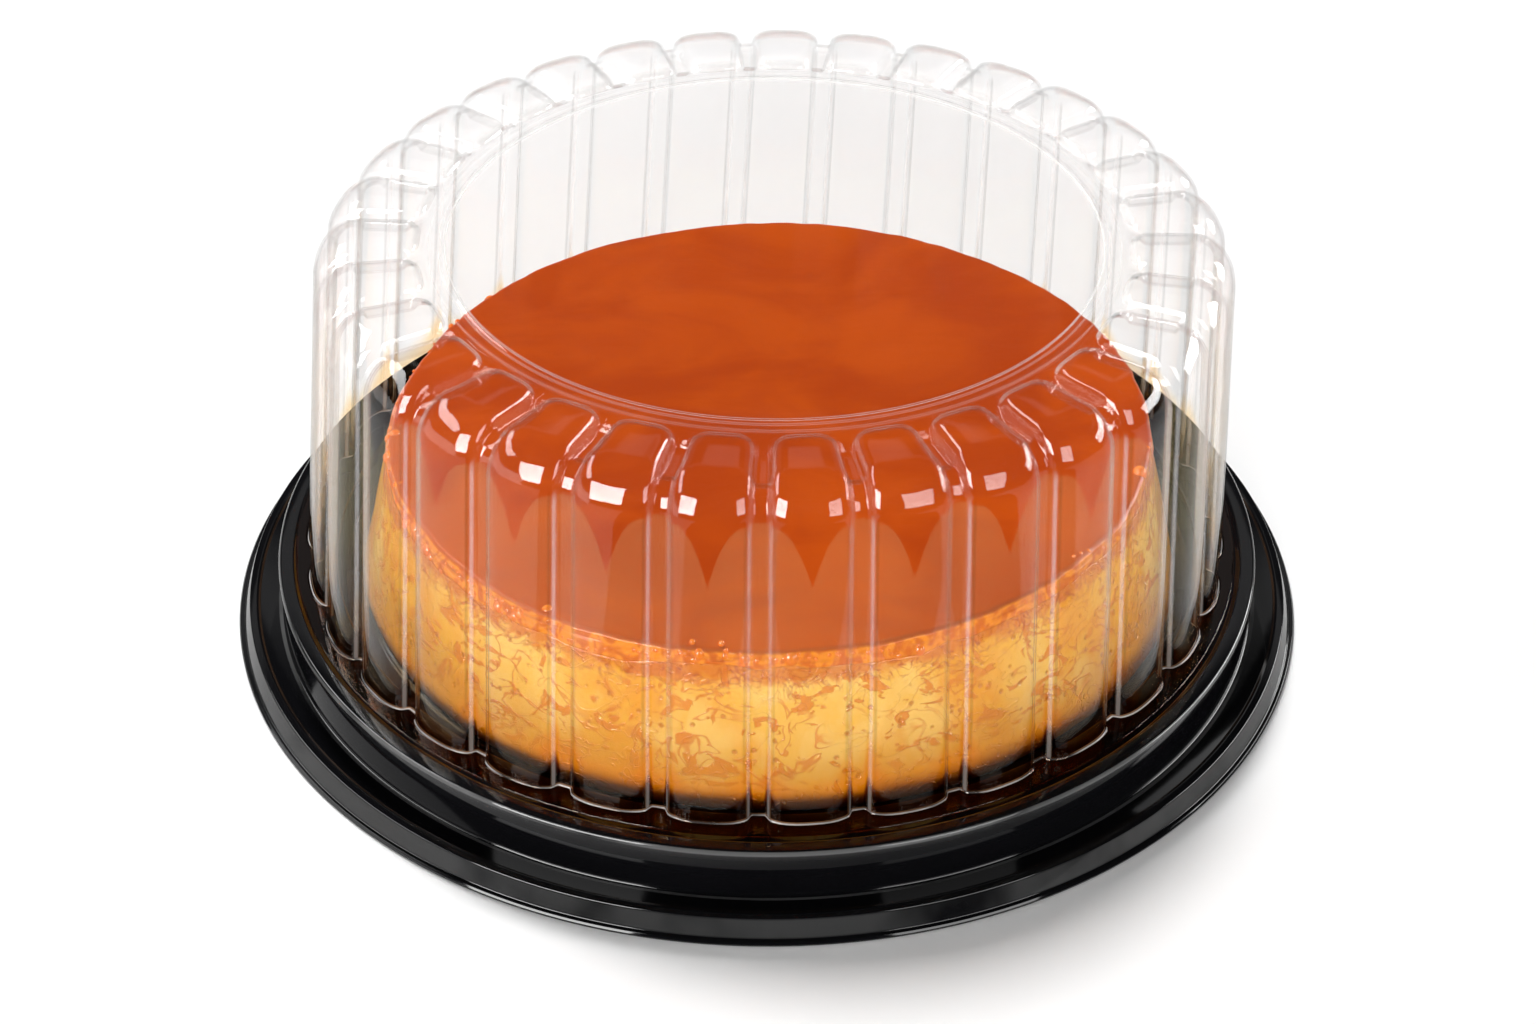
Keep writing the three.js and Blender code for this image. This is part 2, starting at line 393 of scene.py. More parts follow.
def buildTray():
    # the face's outline turned round the axis, and the same outline moved square to itself by the sheet below
    face = filletedSection([(r * mm, z * mm, f * mm) for r, z, f in tray["corners"]], 7)
    run = np.gradient(face, axis=0)
    run /= np.linalg.norm(run, axis=1)[:, None]
    under = face + tray["sheet"] * np.stack([run[:, 1], -run[:, 0]], axis=1)
    under[:, 1] = np.maximum(under[:, 1], 0)
    section = np.concatenate([face, under[::-1]])
    azimuth = np.arange(tray["segments"]) / tray["segments"] * fullTurn
    rings = ringPoints(section[:, :1], section[:, 1:], azimuth[None, :])
    top, bottom = (0, 0, face[0][1]), (0, 0, under[0][1])
    piece = skinMesh("tray_gloss", rings, top, bottom)
    putInPlace(piece, "black_plastic", trayMaterial(), "tray")


buildTray()
print("tray built")


flan = {
    "footRadius": 104.3 * mm,
    "topRadius": 94.6 * mm,
    "footHeight": 10.1 * mm,
    "topHeight": 51.8 * mm,
    "layer": 4.6 * mm,            # the caramel's thickness
    "tilt": 0.014,                # rise of the top for each metre to the right
    "edgeRadius": 1.6 * mm,
    "footRounding": 3 * mm,
    "columns": 720,
}


def flanRadius(azimuth, height):
    # the side's radius: straight from foot to top, plus slow waves round it and small soft dents
    rise = (height - flan["footHeight"]) / (flan["topHeight"] - flan["footHeight"])
    straight = flan["footRadius"] + (flan["topRadius"] - flan["footRadius"]) * rise
    slow = 0.7 * np.cos(azimuth + 0.7) + 0.4 * np.cos(3 * azimuth + 1.1) + 0.25 * np.cos(7 * azimuth + 2.4)
    around = azimuth / fullTurn
    dents = 0.22 * softNoise(around, rise, 40, 4, 11) + 0.12 * softNoise(around, rise, 110, 9, 12)
    dents = dents + 0.35 * np.clip(rise * 8 - 7, 0, 1) * softNoise(around, rise * 0, 150, 1, 13)
    return straight + (slow + dents) * mm


def flanSurface(radiusShare, azimuth):
    # the top's height over the disc: level, tilted along X, with a faint soft unevenness
    x = radiusShare * flan["topRadius"] * np.cos(azimuth)
    y = radiusShare * flan["topRadius"] * np.sin(azimuth)
    u, v = x / (2.4 * flan["topRadius"]) + 0.5, y / (2.4 * flan["topRadius"]) + 0.5
    uneven = 0.16 * softNoise(u, v, 7, 7, 21) + 0.05 * softNoise(u, v, 23, 23, 22)
    return flan["topHeight"] + flan["tilt"] * x + uneven * mm


def seamHeight(azimuth):
    # where caramel meets custard on the side: the layer's thickness below the top, wandering up and down
    around = azimuth / fullTurn
    wander = 0.7 * softNoise(around, 0 * around, 26, 1, 31) + 0.6 * softNoise(around, 0 * around, 95, 1, 32)
    tilted = flan["tilt"] * flan["topRadius"] * np.cos(azimuth)
    return flan["topHeight"] - flan["layer"] + tilted + wander * mm


def buildCaramel():
    # rings out over the top, round its edge by a quarter circle, down the side, which swells by sin(pi t)
    # between edge and seam, and back inwards below the seam
    azimuth = np.arange(flan["columns"]) / flan["columns"] * fullTurn
    edge = flan["edgeRadius"]
    rows = []
    rimRadius = flanRadius(azimuth, flan["topHeight"] - edge)
    for share in np.linspace(0.02, 1, 40):
        top = flanSurface(share, azimuth)
        rows.append(ringPoints(share * (rimRadius - edge), top, azimuth))
    rimHeight = flanSurface(1.0, azimuth)
    for angle in np.linspace(0, math.pi / 2, 7)[1:]:
        radius = rimRadius - edge * (1 - math.sin(angle))
        rows.append(ringPoints(radius, rimHeight - edge * (1 - math.cos(angle)), azimuth))
    seam = seamHeight(azimuth)
    around = azimuth / fullTurn
    for share in np.linspace(0, 1, 9)[1:]:
        height = (rimHeight - edge) * (1 - share) + seam * share
        swell = 0.25 * math.sin(math.pi * share) * (1 + softNoise(around, 0 * around + share, 90, 3, 33))
        rows.append(ringPoints(flanRadius(azimuth, height) + swell * mm, height, azimuth))
    for inset in (0.6, 3, 30):
        height = seam - 0.2 * mm
        rows.append(ringPoints(flanRadius(azimuth, seam) - inset * mm, height, azimuth))
    centre = flan["topHeight"]
    piece = skinMesh("caramel_top", np.array(rows), (0, 0, centre), (0, 0, centre - flan["layer"] - 0.2 * mm))
    putInPlace(piece, "caramel", caramelMaterial(), "caramel_layer")


def buildCustard():
    # rings out to the seam, down the side at flanRadius, round the foot by a quarter circle and inwards
    azimuth = np.arange(flan["columns"]) / flan["columns"] * fullTurn
    seam = seamHeight(azimuth)
    foot, rounding = flan["footHeight"], flan["footRounding"]
    rows = [ringPoints(flanRadius(azimuth, seam) - inset * mm, seam, azimuth) for inset in (60, 20, 3, 0.8)]
    for share in np.linspace(0, 1, 60):
        height = seam * (1 - share) + (foot + rounding) * share
        rows.append(ringPoints(flanRadius(azimuth, height), height, azimuth))
    footRadius = flanRadius(azimuth, foot + rounding)
    for angle in np.linspace(0, math.pi / 2, 6)[1:]:
        radius = footRadius - rounding * (1 - math.cos(angle))
        rows.append(ringPoints(radius, foot + rounding * (1 - math.sin(angle)) + 0 * azimuth, azimuth))
    rows.append(ringPoints(footRadius * 0.4, foot, azimuth))
    piece = skinMesh("custard_body", np.array(rows), (0, 0, seam.mean()), (0, 0, foot))
    putInPlace(piece, "custard", custardMaterial(), "custard")


def layerHeight(tree):
    # height above the floor with the top's tilt taken out, in millimetres
    place = addNode(tree, "ShaderNodeTexCoord").outputs["Object"]
    parts = addNode(tree, "ShaderNodeSeparateXYZ", {0: place})
    tilted = math2(tree, "MULTIPLY_ADD", parts.outputs["X"], -flan["tilt"], parts.outputs["Z"])
    return math2(tree, "MULTIPLY", tilted, 1000.0)


def speckMask(tree, place, cells, chosenAbove, size):
    # soft round dots, one in some of the cells: 1 in the middle of a dot
    voronoi = addNode(tree, "ShaderNodeTexVoronoi", {"Vector": place, "Scale": cells})
    draw = addNode(tree, "ShaderNodeSeparateColor", {0: voronoi.outputs["Color"]}).outputs[0]
    chosen = math2(tree, "GREATER_THAN", draw, chosenAbove)
    return math2(tree, "MULTIPLY", chosen, rampUp(tree, voronoi.outputs["Distance"], size, size * 0.4))


def lineMask(tree, place, scale, distortion, width):
    # thin wandering lines, where a warped noise passes through its middle value
    noise = noiseValue(tree, place, scale, 2.0, 0.5, distortion)
    return rampUp(tree, math2(tree, "ABSOLUTE", math2(tree, "SUBTRACT", noise, 0.5)), width, width * 0.25)


def custardMaterial():
    # yolk yellow with clouds, flakes, veins, pits and spots, redder at the seam, more amber and browner lower
    # down, and painted shade near black at the rounded foot
    material, tree = newMaterial("bakedCustard")
    height = layerHeight(tree)
    plain = objectPoint(tree)
    level = objectPoint(tree, (1, 1, 1.5))
    upright = objectPoint(tree, (1, 1, 0.6))
    broad = rampUp(tree, noiseValue(tree, upright, 40.0, 3.0, 0.5, 0.3), 0.40, 0.60)
    colour = mixColour(tree, broad, (0.88, 0.34, 0.005, 1), (0.97, 0.57, 0.12, 1))
    cloud = rampUp(tree, noiseValue(tree, plain, 95.0, 4.0, 0.6, 0.6), 0.42, 0.62)
    colour = mixColour(tree, math2(tree, "MULTIPLY", cloud, 0.6), colour, (0.93, 0.46, 0.03, 1))
    flake = rampUp(tree, noiseValue(tree, level, 105.0, 3.0, 0.6, 1.6), 0.56, 0.61)
    colour = mixColour(tree, math2(tree, "MULTIPLY", flake, 0.9), colour, (0.80, 0.23, 0.006, 1))
    where = rampUp(tree, noiseValue(tree, upright, 45.0), 0.42, 0.54)
    lines = lineMask(tree, level, 75.0, 1.4, 0.022)
    veins = math2(tree, "MULTIPLY", lines, where)
    colour = mixColour(tree, math2(tree, "MULTIPLY", veins, 0.7), colour, (0.76, 0.19, 0.008, 1))
    pits = speckMask(tree, plain, 420.0, 0.72, 0.34)
    colour = mixColour(tree, math2(tree, "MULTIPLY", pits, 0.7), colour, (0.70, 0.19, 0.01, 1))
    spots = speckMask(tree, plain, 130.0, 0.80, 0.30)
    colour = mixColour(tree, math2(tree, "MULTIPLY", spots, 0.6), colour, (0.78, 0.24, 0.01, 1))
    swirl = noiseValue(tree, objectPoint(tree, (1, 1, 1.3)), 100.0, 3.0, 0.55, 2.4)
    border = rampUp(tree, math2(tree, "MULTIPLY_ADD", swirl, 9.0, height), 46.6, 50.6)
    colour = mixColour(tree, math2(tree, "MULTIPLY", border, 0.85), colour, (0.70, 0.15, 0.01, 1))
    curls = math2(tree, "MULTIPLY", lineMask(tree, plain, 140.0, 2.6, 0.03), rampUp(tree, height, 37.0, 45.0))
    colour = mixColour(tree, math2(tree, "MULTIPLY", curls, 0.6), colour, (0.45, 0.05, 0.012, 1))
    # more amber lower down
    amberLower = math2(tree, "MULTIPLY_ADD", noiseValue(tree, upright, 34.0, 3.0), 12.0, height)
    amberLower = rampUp(tree, amberLower, 36.0, 21.0)
    colour = mixColour(tree, math2(tree, "MULTIPLY", amberLower, 0.85), colour, (0.84, 0.31, 0.003, 1))
    # browner towards the foot
    brownLower = math2(tree, "MULTIPLY_ADD", noiseValue(tree, upright, 40.0), 6.0, height)
    brownLower = rampUp(tree, brownLower, 21.5, 15.8)
    colour = mixColour(tree, math2(tree, "MULTIPLY", brownLower, 0.9), colour, (0.22, 0.05, 0.002, 1))
    # painted shade: near black over the rounded foot, where it sits in the tray's well
    dark = math2(tree, "MULTIPLY_ADD", noiseValue(tree, upright, 60.0), 3.0, height)
    dark = rampUp(tree, dark, 12.9, 11.7)
    colour = mixColour(tree, dark, colour, (0.03, 0.007, 0.001, 1))
    grain = noiseValue(tree, plain, 420.0, 3.0, 0.6)
    relief = math2(tree, "MULTIPLY_ADD", flake, 0.9, grain)
    relief = math2(tree, "MULTIPLY_ADD", lines, 0.5, relief)
    relief = math2(tree, "MULTIPLY_ADD", pits, -1.4, relief)
    bump = addNode(tree, "ShaderNodeBump", {"Height": relief, "Strength": 0.8, "Distance": 0.35 * mm})
    values = {"Base Color": colour, "Roughness": 0.17, "IOR": 1.4, "Normal": bump.outputs[0]}
    values["Specular IOR Level"] = 0.3
    values["Subsurface Weight"] = 0.1
    values["Subsurface Radius"] = (1.0, 0.45, 0.12)
    values["Subsurface Scale"] = 2.5 * mm
    finishTree(tree, addNode(tree, "ShaderNodeBsdfPrincipled", values).outputs[0])
    return material


def caramelMaterial():
    # deep orange over the level top, brighter where the layer shows at the side
    material, tree = newMaterial("caramelGlaze")
    place = addNode(tree, "ShaderNodeTexCoord")
    up = addNode(tree, "ShaderNodeSeparateXYZ", {0: place.outputs["Normal"]}).outputs["Z"]
    mottle = noiseValue(tree, objectPoint(tree, (1, 1.5, 1)), 22.0, 4.0, 0.55, 0.7)
    mottle = rampUp(tree, mottle, 0.36, 0.66)
    colour = mixColour(tree, mottle, (0.40, 0.044, 0.0008, 1), (0.50, 0.066, 0.001, 1))
    side = rampUp(tree, up, 0.8, 0.3)
    edge = rampUp(tree, noiseValue(tree, objectPoint(tree), 260.0, 4.0, 0.6, 1.0), 0.42, 0.58)
    rim = mixColour(tree, edge, (0.90, 0.26, 0.012, 1), (0.68, 0.12, 0.005, 1))
    colour = mixColour(tree, side, colour, rim)
    wrinkle = noiseValue(tree, objectPoint(tree, (1, 1.6, 1)), 110.0, 4.0, 0.6, 0.8)
    height = math2(tree, "MULTIPLY", wrinkle, math2(tree, "MULTIPLY_ADD", side, 1.5, 0.4))
    bump = addNode(tree, "ShaderNodeBump", {"Height": height, "Strength": 0.4, "Distance": 0.5 * mm})
    roughness = math2(tree, "MULTIPLY_ADD", side, -0.14, 0.30)
    values = {"Base Color": colour, "Roughness": roughness, "IOR": 1.42, "Normal": bump.outputs[0]}
    values["Specular IOR Level"] = 0.2
    finishTree(tree, addNode(tree, "ShaderNodeBsdfPrincipled", values).outputs[0])
    return material


bubbles = {
    "small": 300,
    "large": 26,
    "smallRadius": (0.3 * mm, 0.9 * mm),
    "largeRadius": (1.1 * mm, 2.0 * mm),
    "crowded": math.radians(228),     # most sit round this azimuth, in the front left
    "columns": 10,
    "rows": 6,
}


def bubbleMaterial():
    # glossy amber, lighter and darker from place to place
    material, tree = newMaterial("caramelBubble")
    tone = noiseValue(tree, objectPoint(tree), 300.0, 2.0)
    colour = mixColour(tree, tone, (0.74, 0.10, 0.004, 1), (0.92, 0.24, 0.01, 1))
    values = {"Base Color": colour, "Roughness": 0.08, "IOR": 1.42}
    finishTree(tree, addNode(tree, "ShaderNodeBsdfPrincipled", values).outputs[0])
    return material


def buildBubbles():
    # balls half sunk in the caramel's side and edge: centre + radius * (cos u sin v, sin u sin v, cos v)
    draw = np.random.default_rng(51)
    count = bubbles["small"] + bubbles["large"]
    small = draw.uniform(*bubbles["smallRadius"], bubbles["small"])
    size = np.concatenate([small, draw.uniform(*bubbles["largeRadius"], bubbles["large"])])
    near = draw.normal(bubbles["crowded"], 0.55, count)
    azimuth = np.where(draw.random(count) < 0.55, near, draw.uniform(0, fullTurn, count))
    share = draw.beta(1.2, 1.6, count)
    height = seamHeight(azimuth) + share * (flan["layer"] - 0.4 * mm) + 0.3 * mm
    inset = np.clip(share - 0.72, 0, 1) * 7 * mm + 0.45 * size
    centre = ringPoints(flanRadius(azimuth, height) - inset, height - 0.2 * size, azimuth)
    columns, rows = bubbles["columns"], bubbles["rows"]
    u = np.arange(columns) / columns * fullTurn
    v = np.linspace(0, math.pi, rows + 1)[1:-1, None]
    ball = np.stack([np.cos(u) * np.sin(v), np.sin(u) * np.sin(v), np.cos(v) + 0 * u], axis=-1).reshape(-1, 3)
    ball = np.concatenate([[(0, 0, 1)], ball, [(0, 0, -1)]])
    here = np.arange(columns)
    beside = (here + 1) % columns
    near = 1 + columns * np.arange(rows - 2)[:, None]
    quads = np.stack([near + here, near + columns + here, near + columns + beside, near + beside], axis=-1)
    quads = quads.reshape(-1, 4)
    last = len(ball) - 1
    firstFan = np.stack([0 * here, 1 + here, 1 + beside], axis=-1)
    lastFan = np.stack([0 * here + last, last - columns + beside, last - columns + here], axis=-1)
    points = (centre[:, None, :] + size[:, None, None] * ball[None]).reshape(-1, 3)
    start = (np.arange(count) * len(ball))[:, None, None]
    faces = []
    for part in (firstFan, quads, lastFan):
        faces += (part[None] + start).reshape(-1, part.shape[1]).tolist()
    mesh = bpy.data.meshes.new("edge_bubbles")
    mesh.from_pydata(points, [], faces)
    mesh.shade_smooth()
    mesh.update()
    piece = bpy.data.objects.new("edge_bubbles", mesh)
    bpy.context.scene.collection.objects.link(piece)
    putInPlace(piece, "caramel", bubbleMaterial())


buildCustard()
buildCaramel()
buildBubbles()
print("flan built")


syrup = {
    "inner": 97 * mm,
    "outer": 108.2 * mm,
    "under": (107.8 * mm, 9.8 * mm),      # radius and height of its lower outer corner, in the tray's sheet
    "level": 10.5 * mm,
    "rise": 0.6 * mm,                     # climb up the flan's side
    "columns": 360,
}


def syrupMaterial():
    # wet and nearly black
    material, tree = newMaterial("darkSyrup")
    blend = noiseValue(tree, objectPoint(tree), 45.0, 3.0)
    colour = mixColour(tree, blend, (0.008, 0.002, 0.0006, 1), (0.022, 0.006, 0.001, 1))
    values = {"Base Color": colour, "Roughness": 0.08, "IOR": 1.46, "Specular IOR Level": 0.12}
    finishTree(tree, addNode(tree, "ShaderNodeBsdfPrincipled", values).outputs[0])
    return material


def buildSyrup():
    # a thin ring of liquid in the well, as high as level + rise * (e^(-7 t) + 0.35 e^(-9 (1 - t))), where t
    # runs from 0 at the flan's side to 1 at the well's wall
    azimuth = np.arange(syrup["columns"]) / syrup["columns"] * fullTurn
    side = flanRadius(azimuth, syrup["level"] + syrup["rise"])
    rows = []
    for share in np.linspace(0, 1, 14):
        radius = (side - 0.6 * mm) * (1 - share) + syrup["outer"] * share
        climb = math.exp(-share * 7) + 0.35 * math.exp(-(1 - share) * 9)
        rows.append(ringPoints(radius, syrup["level"] + climb * syrup["rise"], azimuth))
    cornerRadius, floorHeight = syrup["under"]
    rows.append(ringPoints(cornerRadius + 0 * azimuth, floorHeight, azimuth))
    rows.append(ringPoints(syrup["inner"] + 0 * azimuth, floorHeight, azimuth))
    rows.insert(0, ringPoints(syrup["inner"] + 0 * azimuth, syrup["level"] + syrup["rise"], azimuth))
    middle = (0, 0, syrup["level"] + syrup["rise"])
    piece = skinMesh("foot_syrup", np.array(rows), middle, (0, 0, floorHeight))
    putInPlace(piece, "caramel", syrupMaterial())


buildSyrup()
print("syrup built")


lid = {
    "sheet": 0.45 * mm,
    "flutes": 31,
    "turn": -0.6,                 # degrees from the front to the nearest groove, at the foot
    "twist": -0.95,               # degrees the flutes turn on their way up
    "grooveHalf": 1.5 * mm,
    "rise": 3.5 * mm,
    "topPower": 6.0,              # section of the flutes on top, 2 is a round crest, higher is flatter
    "wallPower": 3.2,             # and down the wall
    "flankShare": 0.3,            # share of the rise that the steep foot of the flank takes
    "flankWidth": 1.3 * mm,
    "grooveFillet": 0.4 * mm,
    "windowRadius": 79.1 * mm,
    "windowHeight": 104.3 * mm,
    # the raised ring round the window: radius past the window's edge and height, in mm
    "ring": [(-0.7, 0), (-0.55, 0.03), (0.15, 0.31), (0.35, 0.36), (0.6, 0.3), (0.95, 0.06), (1.15, 0.0),
             (1.3, 0.0), (1.45, -0.08), (1.6, -0.1), (2.4, -0.1), (2.6, -0.16), (2.75, -0.18)],
    "fingerStart": 84.9 * mm,     # radius where the flutes start on top
    "fingerEnd": 4.2 * mm,        # length of their rounded inner ends
    "fingerCorner": 3.6 * mm,     # how much later a flute starts at its sides
    "grooveStep": 1.4 * mm,       # how far the grooves on top lie below those of the shoulder
    "crestRadius": 11 * mm,       # the shoulder's rounding over the crests
    "shoulderCentre": (100 * mm, 95.3 * mm),
    "footCrest": 116.5 * mm,
    "flangeRadius": 119.7 * mm,
    "flangeTop": 18.7 * mm,
    "footFillet": 0.8 * mm,
    "lean": 0.024,                # the lid's lean to the right, for each metre above the pivot
    "leanPivot": 40 * mm,
    # from here on the finish, with lengths in mm and heights above the floor
    "wallRadius": 112.0,          # where the distances across a flute are measured
    # a painted reflection: a pale veil for the bright floor mirrored in the wall
    "paintedVeil": 0.031,
    "paintedVeilBehind": 0.3,            # share of the painted veil that is left at the back
    "paintedVeilTop": 97.0,
    "paintedVeilFades": (24.0, 62.0),    # nothing at the first height, all at the second
    "unveiledRun": (7.5, 14.5),      # half width and length of the streak below each crest that the painted veil leaves out
    # colours of the painted veil and of the painted highlight lines
    "paintedVeilColour": (1.0, 0.84, 0.38, 1),
    "paintedLineColour": (0.92, 0.90, 0.88, 1),
    "edgeOn": ((0.22, 0.22, 0.23, 1), 0.42),      # colour of the sheet edge on, and its share
    # upright lines at a flute's sides, the first a painted highlight, the second a painted shade line:
    # distance from the groove's middle, outer and inner half width, height over which they fade in above the
    # foot, strength
    "paintedHighlightLine": (2.2, 0.45, 0.1, 0.9, 0.13),
    "shadeLine": (3.05, 0.5, 0.15, 3.3, 0.12),
    "linesEnd": (99.0, 95.0),
    # painted highlight rings round the window: radius, half width, strength
    "paintedRingHighlights": [(79.0, 0.32, 0.3), (80.5, 0.22, 0.14), (83.1, 0.22, 0.12)],
    "ringHeights": (103.0, 103.8),
    "paintedEndHighlights": ((83.5, 84.5), (100.0, 101.5), 0.22),      # painted highlights on the flutes' inner ends: radii, heights and strength
    "paintedFootHighlight": (19.05, 0.2, 0.08, 0.42),                   # painted highlight line along the foot: height, outer and inner half width, strength
    # painted shade at the foot, amber and brown, climbing at the flutes' sides where the flutes bend the
    # flan's dark foot: height at the crest, climb at the groove, softness, strength and the colour that one
    # face lets through
    "paintedFootShade": [
        (24.5, 11.0, 8.5, 0.65, (1.0, 0.80, 0.50, 1)),
        (19.5, 6.8, 4.6, 0.92, (0.40, 0.18, 0.06, 1)),
    ],
}


def fluteShares():
    # where one pitch is cut: close together at the groove's edges, wider apart over the crest
    half = [0, 0.04, 0.055, 0.063, 0.071, 0.08, 0.092, 0.11, 0.14, 0.18, 0.235, 0.3, 0.37, 0.44, 0.5]
    return np.array(half + [1 - share for share in half[-2:1:-1]])


def fluteAcross(shares):
    # 0 at the crest's middle, 1 from the groove's edge on
    pitch = fullTurn * lid["footCrest"] / lid["flutes"]
    return np.clip(np.abs(np.mod(shares, 1) - 0.5) * pitch / (pitch / 2 - lid["grooveHalf"]), 0, 1)


def fluteArch(shares, power):
    # 0 in the flat groove, then a steep step plus 1 - across^power over the crest, the corners softened
    fine = np.arange(-800, 1600) / 800
    away = (1 - fluteAcross(fine)) * (math.pi * lid["footCrest"] / lid["flutes"] - lid["grooveHalf"])
    flank = smoothStep(0, lid["flankWidth"], away)
    arch = lid["flankShare"] * flank + (1 - lid["flankShare"]) * (1 - fluteAcross(fine) ** power)
    width = int(lid["grooveFillet"] / (fullTurn * lid["footCrest"] / lid["flutes"]) * 800) * 2 + 1
    window = np.hanning(width + 2)[1:-1]
    return np.interp(shares, fine, np.convolve(arch, window / window.sum(), "same"))


def lidMeridian():
    # stations at groove level from the window's middle to the flange: radius, height, angle from up,
    # share of the flutes' rise, share of the groove's step
    wr, wh, rise = lid["windowRadius"], lid["windowHeight"], lid["rise"]
    grooveRadius = lid["crestRadius"] - rise
    centreR, centreZ = lid["shoulderCentre"]
    band, step = centreZ + grooveRadius, lid["grooveStep"]
    rows = [(share * wr, wh, 0, 0, 0) for share in (0.15, 0.6, 0.95, 0.985)]
    rows += [(wr + r * mm, wh + z * mm, 0, 0, 0) for r, z in lid["ring"]]
    ringEnd = rows[-1][0]
    start = lid["fingerStart"]
    for t in (0.12, 0.3, 0.5, 0.7, 0.88, 1.0):
        drop = (wh - band - step) * (1 - math.cos(math.pi * t)) / 2
        rows.append((ringEnd + t * (start - 0.4 * mm - ringEnd), wh - drop, 0, 0, 0))
    for t in (0.02, 0.07, 0.16, 0.3, 0.48, 0.7, 1.0):
        rows.append((start + t * lid["fingerEnd"], band, 0, math.sqrt(1 - (1 - t) ** 2), min(1, 3 * t)))
    last = start + lid["fingerEnd"]
    rows += [(last + t * (centreR - last), band, 0, 1, 1) for t in (0.3, 0.7, 0.97)]
    footGroove = lid["footCrest"] - rise
    wallTurn = math.pi / 2 - math.atan((footGroove - centreR - grooveRadius) / (centreZ - lid["flangeTop"]))
    for angle in np.linspace(0, wallTurn, 13):
        across, up = grooveRadius * math.sin(angle), grooveRadius * math.cos(angle)
        rows.append((centreR + across, centreZ + up, angle, 1, 1))
    topR, topZ = rows[-1][:2]
    fillet = lid["footFillet"]
    footZ = lid["flangeTop"] + fillet
    for t in (0.03, 0.25, 0.5, 0.75, 0.985, 1.0):
        rows.append((topR + t * (footGroove - topR), topZ + t * (footZ - topZ), wallTurn, 1, 1))
    for angle in np.linspace(0, math.pi / 2, 5)[1:]:
        foot = footGroove + fillet * (1 - math.cos(angle))
        rows.append((foot, footZ - fillet * math.sin(angle), math.pi / 2, 1, 1))
    start = rows[-1][0]
    for t, share in ((0.02, 1), (0.9, 0.1), (1.0, 0)):
        rows.append((start + t * (lid["flangeRadius"] - start), lid["flangeTop"], math.pi / 2, share, share))
    return np.array(rows)


def paintedVeilFilm(tree, height, fromCrest):
    # a painted reflection: a pale veil inside the wall that stands in for the bright floor mirrored there,
    # below an edge that drops by length * (1 - distance / half width)^2 at each crest, leaving a streak
    # without veil; patchy, gone at the foot, thin at the back
    halfWidth, length = lid["unveiledRun"]
    away = math2(tree, "SUBTRACT", 1.0, math2(tree, "DIVIDE", fromCrest, halfWidth))
    run = math2(tree, "POWER", math2(tree, "MAXIMUM", away, 0.0), 2.0)
    edge = math2(tree, "MULTIPLY_ADD", run, -length, lid["paintedVeilTop"])
    uneven = noiseValue(tree, objectPoint(tree), 240.0, 2.0)
    below = math2(tree, "SUBTRACT", math2(tree, "MULTIPLY_ADD", uneven, 1.2, edge), height)
    patch = noiseValue(tree, objectPoint(tree, (1, 1, 0.4)), 60.0, 3.0)
    depth = addNode(tree, "ShaderNodeSeparateXYZ", {0: objectPoint(tree)}).outputs["Y"]
    behind = lid["paintedVeilBehind"]
    front = math2(tree, "MULTIPLY_ADD", rampUp(tree, depth, 0.05, -0.05), 1 - behind, behind)
    film = product(tree, rampUp(tree, below, 0.2, 1.2), rampUp(tree, height, *lid["paintedVeilFades"]))
    return product(tree, film, math2(tree, "MULTIPLY_ADD", patch, 0.6, 0.7), front, lid["paintedVeil"])


def sideLine(tree, height, fromGroove, line):
    # a painted upright line at a flute's sides, used for a highlight and for a shade line, from the foot to
    # the shoulder
    middle, outer, inner, fade, strength = line
    foot = lid["flangeTop"] / mm
    ends = product(tree, rampUp(tree, height, *lid["linesEnd"]), rampUp(tree, height, foot, foot + fade))
    return product(tree, lineAt(tree, fromGroove, middle, outer, inner), ends, strength)


def paintedTopHighlights(tree, height):
    # painted highlights: rings round the window, and the steep inner ends of the flutes, where the normal
    # looks at the axis
    topShift = lid["lean"] * (lid["windowHeight"] - lid["leanPivot"])
    centred = vectorMath(tree, "SUBTRACT", objectPoint(tree, (1, 1, 0)), b=(topShift, 0, 0))
    radius = math2(tree, "MULTIPLY", vectorMath(tree, "LENGTH", centred, "Value"), 1000.0)
    rings = 0.0
    for lineRadius, halfWidth, strength in lid["paintedRingHighlights"]:
        ring = product(tree, lineAt(tree, radius, lineRadius, halfWidth, halfWidth * 0.3), strength)
        rings = math2(tree, "MAXIMUM", rings, ring)
    rings = product(tree, rings, rampUp(tree, height, *lid["ringHeights"]))
    normal = addNode(tree, "ShaderNodeTexCoord").outputs["Normal"]
    outward = vectorMath(tree, "DOT_PRODUCT", normal, "Value", vectorMath(tree, "NORMALIZE", centred))
    radii, heights, strength = lid["paintedEndHighlights"]
    ends = product(tree, rampUp(tree, outward, -0.35, -0.75), rampUp(tree, height, *heights))
    ends = product(tree, ends, rampUp(tree, radius, *radii), strength)
    return math2(tree, "MAXIMUM", rings, ends)


